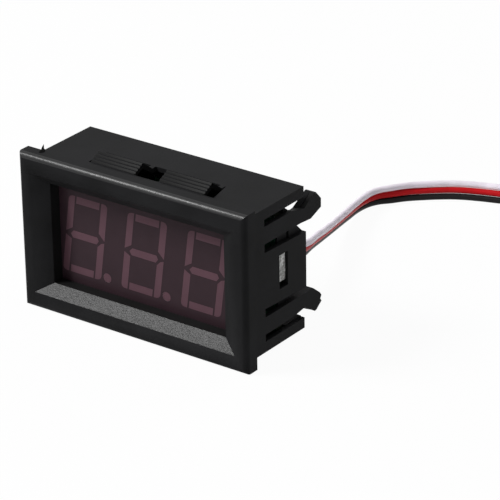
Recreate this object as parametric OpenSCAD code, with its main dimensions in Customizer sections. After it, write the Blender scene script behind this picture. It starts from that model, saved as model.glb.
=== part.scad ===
// Three-digit panel meter: a one-piece snap-in case that carries an LED display
// module, its circuit board with the parts on it, and a three-wire ribbon lead.
// X runs to the right, Y from the front to the back and Z up. The origin is under
// the middle of the meter, on the surface that it stands on. Millimetres.

/* [Bezel] */
// Width of the bezel
bezel_w = 48; // [47:0.5:60]
// Height of the bezel
bezel_h = 29; // [29:0.25:34]
// Thickness of the bezel's flange
flange_t = 3; // [2.6:0.1:3.6]
// Rounding of the flange's front edges
flange_round = 1.1; // [0.6:0.1:1.4]
// Width of the sloped recess at the front
recess_w = 43; // [42:0.25:45]
// Height of the sloped recess at the front
recess_h = 22.5; // [21:0.25:24]
// Depth of the slope
recess_slope_depth = 1.75; // [1:0.05:2.4]
// Depth of the ledge that the display sits against
ledge_depth = 4; // [3.7:0.05:4.6]
// Overlap of the window on the display at each side
ledge_side_lip = 0.37; // [0.1:0.01:0.8]
// Overlap of the window on the display at top and bottom
ledge_top_lip = 0.13; // [0.05:0.01:0.5]

/* [Case] */
// Width of the case behind the flange
case_w = 45.6; // [45:0.1:46.6]
// Height of the case behind the flange
case_h = 26.3; // [26:0.1:26.3]
// Thickness of the case's walls
wall = 0.85; // [0.7:0.05:1]
// Depth of the case's top and bottom, from the bezel's front
case_depth = 18.3; // [17:0.1:18.6]
// How far the case's axis lies under the bezel's middle
case_drop = 0.1; // [0:0.05:0.1]
// Height of the strip at the top and bottom of each side
side_strip_h = 1.95; // [1.6:0.05:2.1]
// Where the slots in the sides start
slot_front = 7.1; // [6.6:0.1:8]
// Half height of the panel in the middle of each side
cheek_half = 5.15; // [4.4:0.05:5.3]
// Depth of that panel
cheek_depth = 18.9; // [18.4:0.05:19.2]

/* [Side arms] */
// Depth of the arms, which is the depth of the whole meter
arm_depth = 23.3; // [23:0.1:26]
// Inner edge of an arm, from the case's axis
arm_inner = 6.7; // [6.5:0.05:7]
// Outer edge of an arm at its root
arm_outer = 9.9; // [9.6:0.05:10.1]
// Outer edge of an arm at its neck
arm_neck = 9; // [8.8:0.05:9.2]
// Height of an arm's head above the case's axis
arm_head = 10.9; // [10.4:0.1:11]
// Length of an arm's head
arm_head_l = 4.9; // [4.6:0.1:5.4]
// Length of the taper from an arm's shank to its neck
arm_neck_taper = 3.5; // [2:0.1:4]
// How much further out than the upper arms' heads the lower ones lie
lower_head_drop = 0.35; // [0:0.05:0.4]
// Thickness of the arms' heads and of the panel between them, behind the board
thick_wall = 1.9; // [1.5:0.05:2]

/* [Panel clips] */
// Front edge of the clips' opening
clip_front = 6; // [5.6:0.1:6.4]
// Back edge of the clips' opening
clip_back = 10.9; // [10.4:0.1:11.4]
// Half width of the clips' opening
clip_opening_half = 13.3; // [13:0.1:14.5]
// Left edge of the first clip
first_clip_left = -13; // [-13:0.25:-12]
// Left edge of the second clip
second_clip_left = 1.65; // [1:0.25:1.75]
// Width of each clip
clip_w = 9.5; // [7:0.25:9.5]
// How far a clip's peak stands out of the case
clip_rise = 1.25; // [0.8:0.05:1.25]
// Number of ratchet steps on a clip
clip_steps = 4; // [2:1:5]

/* [Display] */
// Width of the display module
display_w = 37.6; // [37:0.1:39]
// Height of the display module
display_h = 19; // [19:0.1:20]
// Depth of the display module
display_d = 8; // [7.5:0.1:8.5]
// Height of a digit
digit_h = 14.6; // [12.5:0.1:15]
// Width of a digit
digit_w = 8.4; // [7.4:0.1:8.6]
// Distance from digit to digit
digit_pitch = 12.8; // [12:0.1:12.9]
// Width of a segment
segment_w = 1.35; // [1:0.05:1.5]
// Gap between neighbouring segments
segment_gap = 0.35; // [0.2:0.05:0.5]
// Slant of the digits in degrees
digit_slant = 8; // [5:0.5:9]
// Diameter of a decimal point
point_d = 1.7; // [1.3:0.1:1.8]
// Number of pins in each of the display's two rows
pins_per_row = 6; // [4:1:6]

/* [Circuit board] */
// Thickness of the circuit board
board_t = 1.6; // [1.2:0.1:1.8]
// Height of the circuit board
board_h = 21.3; // [20.8:0.1:21.5]
// How far the circuit board's middle lies under the case's axis
board_drop = 0.95; // [0.8:0.05:1.1]
// Gap between the circuit board and the case at each side
board_gap = 0.5; // [0.3:0.05:0.6]
// Height of the board's tab in each side's window
tab_h = 5.2; // [4:0.1:5.4]
// How far that tab's edge lies inside the case's outer face
tab_recess = 0.6; // [0.4:0.05:0.8]

/* [Calibration trimmer] */
// Side of the trimmer's square base
trimmer_size = 6.6; // [6:0.1:7]
// Height of the trimmer's base
trimmer_base_h = 2.3; // [2:0.1:2.6]
// Diameter of the trimmer's turning disc
trimmer_disc_d = 5; // [4:0.1:5.6]
// Thickness of the trimmer's turning disc
trimmer_disc_t = 0.9; // [0.8:0.05:1.2]
// Diameter of the trimmer's hub
trimmer_hub_d = 2; // [1.6:0.1:2.4]
// Radial clearance between the hub and its bore
hub_clearance = 0.04; // [0.02:0.01:0.08]

/* [Lead] */
// Diameter of each wire over its insulation
wire_d = 1.2; // [1:0.05:1.2]
// Turns in the coil that the lead's end is wound into
coil_turns = 1.5; // [1:0.25:1.75]

/* [Hidden] */
$fn = 48;

// Overlap that joins the pieces of one moulding
bond = 0.05;
// Air that keeps two pieces apart where nothing presses them together
free_fit = 0.1;
// Air round what is cast or soldered into a hole
cast_fit = 0.02;

// Heights and depths that follow from the sizes above
front_y = -arm_depth / 2;
case_axis = bezel_h / 2 - case_drop;
window_w = display_w - 2 * ledge_side_lip;
window_h = display_h - 2 * ledge_top_lip;
inner_w = case_w - 2 * wall;
inner_h = case_h - 2 * wall;
board_front = ledge_depth + display_d;
board_back = board_front + board_t;
board_top = board_h / 2 - board_drop;
board_foot = board_h / 2 + board_drop;
board_w = inner_w - 2 * board_gap;
tab_rise = 0.35;
tab_air = 0.5;
cheek_window_front = board_front - 0.8;
rib_t = 1.4;
rib_overlap = 0.1;
cheek_sag = 0.5;
plate_half = 6.2;
head_lead = 0.65;
pad_reach = 0.95;
clip_run = (clip_back - clip_front - 2.5) / clip_steps;
clip_peak = clip_front + clip_steps * clip_run + 0.15;

// The display module's inside
shell_wall = 1;
well_depth = 6.2;
inner_board_front = ledge_depth + well_depth;
inner_board_t = 0.8;
inner_board_back = inner_board_front + inner_board_t;
potting_back = board_front - free_fit;
die_size = 0.3;
die_t = 0.25;
digits_right = -0.23;
digits_down = 0.18;
pin_d = 0.5;
pin_pitch = 2.54;
pin_row_half = 7.62;
pin_hole_d = 0.9;
solder_h = 0.9;
solder_d = 1.7;
pin_stub = 0.2;
pin_end = board_back + solder_h + pin_stub;
point_gap = 0.6;

// Places on the back of the circuit board, as [X, height above the case's axis]
controller_at = [-2.5, 0];
regulator_at = [6.4, 3.6];
diode_at = [7.5, -4];
trimmer_at = [-14.6, 0];
lead_at = [14.5, -3.9];
lead_pad_pitch = 2;
lead_solder_d = 1.9;
lead_solder_h = 1.4;
resistor_places = [
    [-10, 9], [-7, 9], [-4, 9], [-1, 9], [-19.5, 7], [-19.5, 3.5], [-19.5, -3.5], [-19.5, -7]
];
capacitor_places = [[11.5, 8.9], [14.5, 8.9], [-8.6, -4.3], [3.6, -4.3]];
filter_places = [[14.8, 3.4], [18.6, 3.4]];

// The ribbon lead's route: [X, depth, Z, lean, pitch] at each ring, after the solder that
// it starts from. Lean is how far the ribbon stands up from lying flat, in degrees, and
// pitch the distance from wire to wire.
wire_pitch = wire_d + 0.01;
ribbon_route = concat(
    [[lead_at[0], board_back + lead_solder_h, case_axis + lead_at[1], 90, lead_pad_pitch]],
    [
        [14.5, 17.6, 10.5, 92, 1.8], [14.2, 21.2, 10.2, 96, 1.4], [13.7, 24.6, 9.5, 100, 1.21],
        [13.1, 28.2, 8.6, 104, 1.21], [12.4, 31.4, 7.8, 110, 1.21], [11.6, 34.6, 7.0, 114, 1.21],
        [10.0, 39.2, 6.1, 117, 1.21], [8.6, 43.6, 5.2, 119, 1.21], [6.5, 50.4, 4.0, 118, 1.21],
        [5.4, 54.0, 3.4, 117, 1.21], [4.4, 57.4, 2.9, 115, 1.21], [3.5, 60.4, 2.4, 113, 1.21],
        [2.8, 63.4, 2.1, 111, 1.21], [2.5, 65.9, 1.92, 107, 1.21], [2.6, 67.8, 1.87, 101, 1.21],
        [3.3, 69.8, 1.85, 93, 1.21], [4.5, 71.4, 1.84, 86, 1.21], [6.4, 74.0, 1.83, 80, 1.21],
        [8.8, 76.4, 1.81, 76, 1.21], [11.1, 78.4, 1.79, 72, 1.21], [13.6, 80.2, 1.76, 68, 1.21],
        [17.4, 82.0, 1.72, 65, 1.21], [21.2, 83.2, 1.76, 68, 1.21], [25.3, 84.4, 1.9, 76, 1.21],
        [29.4, 85.4, 2.15, 84, 1.21], [33.3, 86.2, 2.26, 90, 1.21]
    ]
);
route_last = ribbon_route[len(ribbon_route) - 1];
route_end = [route_last[0], route_last[1]];

// The coil starts where the route ends, and turns to the right, inwards
coil_heading = 13;
coil_start_r = 7.1;
coil_lane = wire_d + 0.05;
coil_end_r = coil_start_r - coil_turns * coil_lane;
coil_outer_r = coil_start_r + wire_d / 2 + 0.05;
coil_inner_r = coil_end_r - wire_d / 2 - 0.05;
coil_center = route_end + coil_start_r * [sin(coil_heading), -cos(coil_heading)];
tie_t = 0.4;
tie_w = 2;
coil_z = route_last[2] - 1.5 * wire_pitch;

color_case = [0.13, 0.13, 0.14];
color_face = [0.2, 0.15, 0.17];
color_segment = [0.36, 0.27, 0.31];
color_board = [0.08, 0.32, 0.16];
color_metal = [0.75, 0.75, 0.74];
color_chip = [0.1, 0.1, 0.11];

// ---------------------------------------------------------------- helpers

// Puts what is drawn from the bezel's front into the meter's own frame
module in_place() {
    translate([0, front_y, 0]) children();
}

// Extrudes a drawing in X and Z from one depth to another
module from_to(y0, y1) {
    translate([0, y1, 0]) rotate([90, 0, 0]) linear_extrude(y1 - y0) children();
}

// Extrudes a drawing in Y and Z from one X to another
module across(x0, x1) {
    translate([x0, 0, 0]) rotate([90, 0, 90]) linear_extrude(x1 - x0) children();
}

// A block centred in X and Z on the given height
module block(w, h, y0, y1, z = case_axis) {
    translate([-w / 2, y0, z - h / 2]) cube([w, y1 - y0, h]);
}

// A small part's block on the back of the circuit board, lifted off it if asked
module on_board(at, w, h, t, lift = 0) {
    translate([at[0], 0, 0]) block(w, h, board_back + lift, board_back + lift + t, case_axis + at[1]);
}

// Both signs, for what is mirrored
both = [-1, 1];

// ---------------------------------------------------------------- housing

// Outline of the flange from above or from the side: width, then both front edges rounded
module flange_outline(w) {
    difference() {
        translate([-w / 2, 0]) square([w, flange_t]);
        for (side = both)
            difference() {
                translate([side > 0 ? w / 2 - flange_round : -w / 2 - 1, -1])
                    square([flange_round + 1, flange_round + 1]);
                translate([side * (w / 2 - flange_round), flange_round]) circle(flange_round);
            }
    }
}

// The solid flange, each of its front edges rounded
module flange() {
    intersection() {
        linear_extrude(bezel_h) flange_outline(bezel_w);
        translate([-bezel_w / 2, 0, bezel_h / 2])
            rotate([90, 0, 90]) linear_extrude(bezel_w) rotate(90) mirror([0, 1]) flange_outline(bezel_h);
    }
}

// The recess that slopes from the bezel's front to the window
module sloped_recess() {
    mouth = 0.5;
    grow_w = (recess_w - window_w) / 2 / recess_slope_depth * mouth;
    grow_h = (recess_h - window_h) / 2 / recess_slope_depth * mouth;
    intersection() {
        linear_extrude(bezel_h)
            polygon([
                [-recess_w / 2 - grow_w, -mouth], [recess_w / 2 + grow_w, -mouth],
                [window_w / 2, recess_slope_depth], [-window_w / 2, recess_slope_depth]
            ]);
        across(-bezel_w / 2, bezel_w / 2)
            polygon([
                [-mouth, case_axis - recess_h / 2 - grow_h], [-mouth, case_axis + recess_h / 2 + grow_h],
                [recess_slope_depth, case_axis + window_h / 2], [recess_slope_depth, case_axis - window_h / 2]
            ]);
    }
}

// One arm with its head, above the case's axis: [depth, height] all round. A lower arm's
// head has a nick in its end and is drawn mirrored. The head starts earlier if asked.
module arm_outline(lower, head_lead = 0) {
    neck_at = arm_depth - arm_head_l - head_lead;
    neck = lower ? arm_neck + lower_head_drop : arm_neck;
    peak = lower ? arm_head + lower_head_drop : arm_head;
    end = lower
        ? [[arm_depth - 2.45, arm_inner], [arm_depth - 0.45, peak - 2.95], [arm_depth, peak - 2.3],
            [arm_depth - 0.35, peak - 1.75], [arm_depth, peak - 1.2]]
        : [[arm_depth - 3, arm_inner - 0.25], [arm_depth, arm_inner + 0.85], [arm_depth, peak - 1.75],
            [arm_depth - 0.65, peak - 1]];
    polygon(concat(
        [[slot_front - bond, arm_inner], [arm_depth - arm_head_l - 1, arm_inner]],
        end,
        [[arm_depth - 1.5, peak - 0.1], [arm_depth - 1.95, peak], [neck_at, neck],
            [neck_at - arm_neck_taper, arm_outer - bond], [slot_front - bond, arm_outer]]
    ));
}

// The cheek, the panel between the arms, whose edges fall a little towards the rear
module cheek_outline() {
    polygon([
        [slot_front - bond, -cheek_half], [cheek_depth, -cheek_half - cheek_sag],
        [cheek_depth, cheek_half - cheek_sag], [slot_front - bond, cheek_half]
    ]);
}

// The plate inside the cheek behind the board, its rear corners cut off. Its middle
// comes forward to hold the board.
module cheek_plate_outline() {
    start = board_back + pad_reach + 0.45;
    stop = board_back + free_fit;
    stop_half = 4.2;
    cut = 1.6;
    polygon([
        [start, -plate_half], [cheek_depth - cut, -plate_half], [cheek_depth, cut - plate_half],
        [cheek_depth, plate_half - cut], [cheek_depth - cut, plate_half], [start, plate_half],
        [start, stop_half], [stop, stop_half], [stop, -stop_half], [start, -stop_half]
    ]);
}

// One side of the case: strips, cheek and arms, cut by the slots and the tab's window
module side_outline() {
    difference() {
        union() {
            translate([flange_t - bond, -case_h / 2]) square([slot_front - flange_t + bond, case_h]);
            for (side = both)
                mirror([0, side > 0 ? 0 : 1]) {
                    translate([slot_front - bond, case_h / 2 - side_strip_h])
                        square([case_depth - slot_front + bond, side_strip_h]);
                    arm_outline(side < 0);
                }
            cheek_outline();
        }
        translate([cheek_window_front, -tab_h / 2 - tab_air])
            square([board_back - cheek_window_front, tab_h + 2 * tab_air]);
    }
}

// What an arm gains in thickness inwards, from above: an upper one on the way to its
// head, a lower one from the board on
module arm_thickening(lower) {
    start = board_back + free_fit + (lower ? 0 : rib_t);
    full = lower ? start : arm_depth - arm_head_l - head_lead;
    inner_face = case_w / 2 - wall;
    polygon([
        [inner_face + bond, start], [inner_face, start], [case_w / 2 - thick_wall, full],
        [case_w / 2 - thick_wall, arm_depth], [inner_face + bond, arm_depth]
    ]);
}

// A pad inside the cheek that keeps the board in the middle, seen from the front. It
// stands clear of the arm beside it.
module pad_outline(lower) {
    inner_face = case_w / 2 - wall;
    pad_face = board_w / 2 + free_fit;
    root = 4.4;
    shoulder = cheek_half - cheek_sag;
    tip = lower ? 7.4 : plate_half;
    polygon([
        [pad_face, root], [inner_face + bond, root], [inner_face + bond, shoulder],
        [inner_face - free_fit, shoulder], [inner_face - free_fit, tip], [pad_face, tip]
    ]);
}

// One side of the case, its outer wall and what lies inside that: thicker arms, the
// cheek's plate and the bottom's rail behind the board, and the pads at the board's edge
module side(sign) {
    inner_face = case_w / 2 - wall;
    rail_top = 11.05;
    mirror([sign > 0 ? 0 : 1, 0, 0])
        translate([0, 0, case_axis]) {
            across(inner_face, case_w / 2) side_outline();
            across(case_w / 2 - thick_wall, inner_face + bond) cheek_plate_outline();
            for (flip = both)
                mirror([0, 0, flip > 0 ? 0 : 1]) {
                    intersection() {
                        across(case_w / 2 - thick_wall, inner_face + bond) arm_outline(flip < 0, head_lead);
                        linear_extrude(case_h / 2) arm_thickening(flip < 0);
                    }
                    from_to(board_front - free_fit, board_back + pad_reach) pad_outline(flip < 0);
                }
            translate([case_w / 2 - thick_wall, board_back + free_fit, -inner_h / 2 - bond])
                cube([thick_wall - wall + bond, case_depth - board_back - free_fit,
                    inner_h / 2 + bond - rail_top]);
        }
}

// Ribs that hold the board from behind: one under the top, with a lip along its edge and
// a foot at each end, and a low one on the bottom between the rails
module board_ribs() {
    front = board_back + free_fit;
    back = board_back + rib_t;
    web_back = front + 0.35;
    rib_h = inner_h / 2 - board_top + rib_overlap + bond;
    half = inner_w / 2 - free_fit;
    foot_w = 1.4;
    foot_h = 0.8;
    translate([0, 0, case_axis + board_top - rib_overlap]) {
        across(-half, half)
            polygon([
                [front, 0], [back, 0], [back, 0.25], [web_back, 0.95], [web_back, rib_h], [front, rib_h]
            ]);
        for (end = both)
            translate([end * (half - foot_w / 2), 0, 0])
                block(foot_w, foot_h + bond, front, back, (bond - foot_h) / 2);
    }
    low_rib_h = inner_h / 2 - board_foot + rib_overlap + bond;
    block(case_w - 2 * thick_wall + 2 * bond, low_rib_h, front, back,
        case_axis - inner_h / 2 - bond + low_rib_h / 2);
}

// A clip from the side: [depth, height above the case's face]
module clip_outline() {
    rise = clip_rise / clip_steps;
    riser_run = 0.2;
    root = wall + 0.6;
    polygon(concat(
        [[clip_front + free_fit, -wall], [clip_front + free_fit, 0]],
        [for (i = [1 : clip_steps], top = [0, 1])
            [clip_front + i * clip_run - (1 - top) * riser_run, (i - 1 + top) * rise]],
        [
            [clip_peak, clip_rise], [clip_back, -wall + 0.25], [clip_back, bond - wall],
            [clip_back + 0.8, bond - wall], [clip_back + 0.8, -root], [clip_back, -root],
            [clip_peak - 0.15, clip_rise - 1]
        ]
    ));
}

// The clips in the top wall, with a gusset from each peak to the wall's edge on its right
module clips() {
    gusset_w = 0.95;
    gusset_back = clip_back + bond;
    gusset_foot = clip_back - 1;
    for (x = [first_clip_left, second_clip_left]) {
        right_end = x + clip_w;
        across(x, right_end) clip_outline();
        intersection() {
            across(right_end - bond, right_end + gusset_w)
                polygon([
                    [clip_peak, clip_rise], [gusset_foot, 0], [gusset_back, 0], [gusset_back, -wall],
                    [gusset_foot, -wall], [clip_peak, clip_rise - 1]
                ]);
            translate([0, 0, -wall])
                linear_extrude(wall + clip_rise)
                    polygon([
                        [right_end - bond, clip_peak], [right_end + gusset_w, gusset_foot],
                        [right_end + gusset_w, gusset_back], [right_end - bond, gusset_back]
                    ]);
        }
    }
}

// Opening in the top wall round the clips, its right end slanted
module clip_opening() {
    slant = 1.1;
    translate([0, 0, -wall - 0.5])
        linear_extrude(wall + 1)
            polygon([
                [-clip_opening_half, clip_front], [clip_opening_half, clip_front],
                [clip_opening_half - slant, clip_back], [-clip_opening_half, clip_back]
            ]);
}

module housing() {
    color(color_case)
        in_place() {
            difference() {
                union() {
                    flange();
                    block(case_w, case_h, flange_t - bond, case_depth);
                }
                sloped_recess();
                block(window_w, window_h, recess_slope_depth - bond, ledge_depth + bond);
                block(inner_w, inner_h, ledge_depth, case_depth + 1);
                for (sign = both)
                    translate([sign * (case_w - wall) / 2, 0, 0])
                        block(wall + 2 * bond, case_h - 2 * wall, slot_front - bond, case_depth + 1);
                for (sign = both)
                    mirror([sign > 0 ? 0 : 1, 0, 0])
                        translate([case_w / 2 - wall - bond, slot_front, case_axis - case_h / 2 + side_strip_h])
                            cube([wall + 1, case_depth, case_h - 2 * side_strip_h]);
                for (sign = both)
                    translate([0, 0, case_axis])
                        mirror([0, 0, sign > 0 ? 0 : 1])
                            translate([0, 0, case_h / 2]) clip_opening();
            }
            for (sign = both) side(sign);
            board_ribs();
            for (sign = both)
                translate([0, 0, case_axis])
                    mirror([0, 0, sign > 0 ? 0 : 1])
                        translate([0, 0, case_h / 2]) clips();
        }
}

// ---------------------------------------------------------------- display module

// Leans a point of a digit by the digits' slant
function leaned(p) = [p[0] + (p[1] - digit_h / 2) * tan(digit_slant), p[1]];

// A digit's corner rounded outwards, in the quarter that turns from angle a
function rounded(center, r, a) = [for (i = [0 : 3]) center + r * [cos(a + i * 30), sin(a + i * 30)]];

// The seven segments of a digit, each a list of points from the digit's lower left corner
function segments() =
    let (
        w = segment_w, g = segment_gap, W = digit_w, H = digit_h, m = digit_h / 2,
        r = segment_w * 0.6, cut = segment_w * 0.9, tip = 0.28
    )
    [
        [[w + g, H - w], [W - w - g, H - w], [W - w - g, H], [w + g, H]],
        concat([[W, m + tip], [W, H - r]], rounded([W - r, H - r], r, 0), [[W - w, H], [W - w, m + cut + tip]]),
        concat([[W - w, m - cut + 0.1], [W - w, 0]], rounded([W - r, r], r, -90), [[W, m - 0.1], [W - w / 2, m - w / 4]]),
        [[w + g, 0], [W - w - g, 0], [W - w - g, w], [w + g, w]],
        concat([[w, m - cut + tip], [0, m - g / 2 - 0.1], [0, r]], rounded([r, r], r, 180), [[w, 0]]),
        concat([[0, m + g], [w, m + cut], [w, H]], rounded([r, H - r], r, 90), [[0, H - r]]),
        [[w - tip, m], [w + tip, m - w / 2], [W - w - tip, m - w / 2], [W - w + tip / 2, m],
            [W - w - tip, m + w / 2], [w + tip, m + w / 2]]
    ];

digit_places = [for (i = [-1 : 1]) [digits_right + i * digit_pitch - digit_w / 2,
    case_axis - digits_down - digit_h / 2]];
point_places = [for (d = digit_places)
    d + leaned([digit_w, 0]) + [point_gap + point_d / 2, point_d / 2]];

module digit(place) {
    translate(place)
        for (s = segments())
            polygon([for (p = s) leaned(p)]);
}

module points(d) {
    for (i = [0, 1]) translate(point_places[i]) circle(d = d);
}

module display_shell() {
    color(color_face)
        in_place()
            difference() {
                block(display_w, display_h, ledge_depth, board_front);
                from_to(ledge_depth - 1, inner_board_front + bond)
                    for (place = digit_places) digit(place);
                from_to(ledge_depth - 1, inner_board_front + bond) points(point_d);
                block(display_w - 2 * shell_wall, display_h - 2 * shell_wall, inner_board_front, board_front + 1);
            }
}

module segments_of(index) {
    color(color_segment)
        in_place()
            from_to(ledge_depth, inner_board_front - die_t - cast_fit) digit(digit_places[index]);
}

module segments_left() segments_of(0);
module segments_middle() segments_of(1);
module segments_right() segments_of(2);

module decimal_points() {
    color(color_segment)
        in_place()
            from_to(ledge_depth, inner_board_front - die_t - cast_fit) points(point_d - 2 * cast_fit);
}

// A light-emitting die under the middle of each segment and point
module led_dice() {
    color("gold")
        in_place() {
            for (place = digit_places, s = segments()) {
                middle = place + leaned([(min([for (p = s) p[0]]) + max([for (p = s) p[0]])) / 2,
                    (min([for (p = s) p[1]]) + max([for (p = s) p[1]])) / 2]);
                translate([middle[0], 0, 0])
                    block(die_size, die_size, inner_board_front - die_t, inner_board_front, middle[1]);
            }
            for (i = [0, 1])
                translate([point_places[i][0], 0, 0])
                    block(die_size, die_size, inner_board_front - die_t, inner_board_front, point_places[i][1]);
        }
}

// Calls its children at each of the display's pins
module at_pins() {
    for (i = [0 : pins_per_row - 1], row = both)
        translate([(i - (pins_per_row - 1) / 2) * pin_pitch, 0, case_axis + row * pin_row_half]) children();
}

// A round bar or hole along Y
module rod(d, y0, y1, d2 = 0) {
    translate([0, y0, 0]) rotate([-90, 0, 0]) cylinder(h = y1 - y0, d1 = d, d2 = d2 > 0 ? d2 : d);
}

module display_board() {
    color("darkolivegreen")
        in_place()
            block(display_w - 2 * shell_wall - 2 * free_fit, display_h - 2 * shell_wall - 2 * free_fit,
                inner_board_front, inner_board_back);
}

module display_potting() {
    color([0.85, 0.83, 0.76])
        in_place()
            difference() {
                block(display_w - 2 * shell_wall - 2 * free_fit, display_h - 2 * shell_wall - 2 * free_fit,
                    inner_board_back, potting_back);
                at_pins() rod(pin_d + 2 * cast_fit, inner_board_back - 1, potting_back + 1);
            }
}

module display_pins() {
    color(color_metal)
        in_place()
            at_pins() rod(pin_d, inner_board_back, pin_end);
}

// ---------------------------------------------------------------- circuit board and its parts

module at_lead_pads() {
    for (i = [-1 : 1])
        translate([lead_at[0], 0, case_axis + lead_at[1] + i * lead_pad_pitch]) children();
}

module circuit_board() {
    nub_w = 1;
    nub_at = -3.3;
    nub_h = 0.8;
    color(color_board)
        in_place()
            difference() {
                union() {
                    block(board_w, board_h, board_front, board_back, case_axis - board_drop);
                    block(case_w - 2 * tab_recess, tab_h, board_front, board_back, case_axis + tab_rise);
                    translate([nub_at, 0, 0])
                        block(nub_w, nub_h + bond, board_front, board_back,
                            case_axis + board_top + (nub_h - bond) / 2);
                }
                at_pins() rod(pin_hole_d, board_front - 1, board_back + 1);
                at_lead_pads() rod(pin_hole_d, board_front - 1, board_back + 1);
            }
}

module pin_solder() {
    color(color_metal)
        in_place()
            at_pins()
                difference() {
                    rod(solder_d, board_back, board_back + solder_h, pin_hole_d);
                    rod(pin_d + 2 * cast_fit, board_back - 1, board_back + 2);
                }
}

controller_w = 9.9;
controller_h = 3.9;
chip_lift = 0.15;
controller_pins = 8;

module controller_body() {
    color(color_chip) in_place() on_board(controller_at, controller_w, controller_h, 1.4, chip_lift);
}

// A bent lead from a chip's side down to the board: [distance outwards, height]
module gull_wing(reach, drop, t) {
    polygon([[0, drop], [0, drop + t], [reach * 0.35, drop + t], [reach * 0.6, t], [reach, t],
        [reach, 0], [reach * 0.45, 0], [reach * 0.2, drop]]);
}

module controller_leads() {
    pitch = 1.27;
    lead_w = 0.42;
    color(color_metal)
        in_place()
            for (i = [0 : controller_pins - 1], row = both)
                translate([controller_at[0] + (i - (controller_pins - 1) / 2) * pitch - lead_w / 2,
                    board_back, case_axis + controller_at[1]])
                    mirror([0, 0, row > 0 ? 0 : 1])
                        translate([0, 0, controller_h / 2])
                            rotate([90, 0, 90]) linear_extrude(lead_w)
                                mirror([1, -1]) gull_wing(1.05, 0.65, 0.2);
}

regulator_w = 4.5;
regulator_h = 2.5;

module regulator_body() {
    color(color_chip) in_place() on_board(regulator_at, regulator_w, regulator_h, 1.5);
}

module regulator_leads() {
    pitch = 1.5;
    lead_w = 0.45;
    lead_l = 0.9;
    tab_w = 1.7;
    tab_l = 0.6;
    t = 0.4;
    color(color_metal)
        in_place() {
            for (i = [-1 : 1])
                on_board(regulator_at + [i * pitch, -(regulator_h + lead_l) / 2], lead_w, lead_l, t);
            on_board(regulator_at + [0, (regulator_h + tab_l) / 2], tab_w, tab_l, t);
        }
}

diode_w = 4.3;
diode_h = 2.6;

module diode_body() {
    color(color_chip) in_place() on_board(diode_at, diode_w, diode_h, 2);
}

module diode_leads() {
    lead_w = 0.35;
    color(color_metal)
        in_place()
            for (side = both)
                on_board(diode_at + [side * (diode_w + lead_w) / 2, 0], lead_w, 1.5, 1.1);
}

module filter_capacitors() {
    color("tan") in_place() for (at = filter_places) on_board(at, 1.8, 3.2, 1.4);
}

module chip_resistors() {
    color(color_chip) in_place() for (at = resistor_places) on_board(at, 1.6, 0.85, 0.45);
}

module chip_capacitors() {
    color("tan") in_place() for (at = capacitor_places) on_board(at, 2, 1.25, 0.9);
}

// ---------------------------------------------------------------- calibration trimmer

rivet_d = trimmer_hub_d + 0.8;
rivet_t = 0.35;
rivet_room = 0.5;
disc_lift = 0.05;

// Calls its children with the trimmer's axis along +Z, from the board's back face
module at_trimmer() {
    in_place()
        translate([trimmer_at[0], board_back, case_axis + trimmer_at[1]]) rotate([-90, 0, 0]) children();
}

module trimmer_base() {
    color("royalblue")
        at_trimmer()
            difference() {
                translate([-trimmer_size / 2, -trimmer_size / 2, 0])
                    cube([trimmer_size, trimmer_size, trimmer_base_h]);
                translate([0, 0, -1]) cylinder(h = trimmer_base_h + 2, d = trimmer_hub_d + 2 * hub_clearance);
                translate([0, 0, -1]) cylinder(h = 1 + rivet_room, d = rivet_d + 2 * free_fit);
            }
}

module trimmer_leads() {
    lead_w = 0.8;
    lead_t = 0.3;
    color(color_metal)
        at_trimmer() {
            for (side = both)
                translate([side * trimmer_size * 0.38 - lead_w / 2, trimmer_size / 2, 0])
                    cube([lead_w, lead_t, trimmer_base_h - 0.4]);
            translate([-lead_w / 2, -trimmer_size / 2 - lead_t, 0])
                cube([lead_w, lead_t, trimmer_base_h - 0.4]);
        }
}

// Disc, hub and rivet turned as one, with the cross slot for a screwdriver
module trimmer_rotor() {
    slot_l = 3.2;
    slot_w = 0.8;
    slot_depth = 0.5;
    rivet_z = rivet_room - rivet_t - disc_lift;
    disc_z = trimmer_base_h + disc_lift;
    top_z = disc_z + trimmer_disc_t;
    color(color_metal)
        at_trimmer()
            difference() {
                rotate_extrude()
                    polygon([
                        [0, rivet_z], [rivet_d / 2, rivet_z], [rivet_d / 2, rivet_z + rivet_t],
                        [trimmer_hub_d / 2, rivet_z + rivet_t], [trimmer_hub_d / 2, disc_z],
                        [trimmer_disc_d / 2, disc_z], [trimmer_disc_d / 2, top_z - 0.2],
                        [trimmer_disc_d / 2 - 0.2, top_z], [0, top_z]
                    ]);
                for (turn = [0, 90])
                    rotate(turn)
                        translate([-slot_l / 2, -slot_w / 2, top_z - slot_depth]) cube([slot_l, slot_w, 1]);
            }
}

// ---------------------------------------------------------------- lead

// The solder that holds each wire's core, through the board and in a cone behind it
module wire_solder() {
    color(color_metal)
        in_place()
            at_lead_pads() {
                rod(lead_solder_d, board_back, board_back + lead_solder_h, wire_d);
                rod(pin_hole_d - 2 * cast_fit, board_front + free_fit, board_back + bond);
            }
}

// The wires lie over and under the middle one, at -1, 0 and 1
function route_point(i) = let (p = ribbon_route[i]) [p[0], p[1], p[2]];
function ahead(i) =
    let (n = len(ribbon_route) - 1, a = route_point(max(i - 1, 0)), b = route_point(min(i + 1, n)))
    (i == 0) ? [0, 1, 0] : (i == n) ? [cos(coil_heading), sin(coil_heading), 0] : (b - a) / norm(b - a);
function sideways(i) = let (t = ahead(i)) [-t[1], t[0], 0] / norm([t[0], t[1]]);
function upward(i) = cross(ahead(i), sideways(i));
function across_ribbon(i) =
    let (lean = ribbon_route[i][3]) cos(lean) * sideways(i) + sin(lean) * upward(i);
function wire_center(i, place) = route_point(i) + place * ribbon_route[i][4] * across_ribbon(i);

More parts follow.
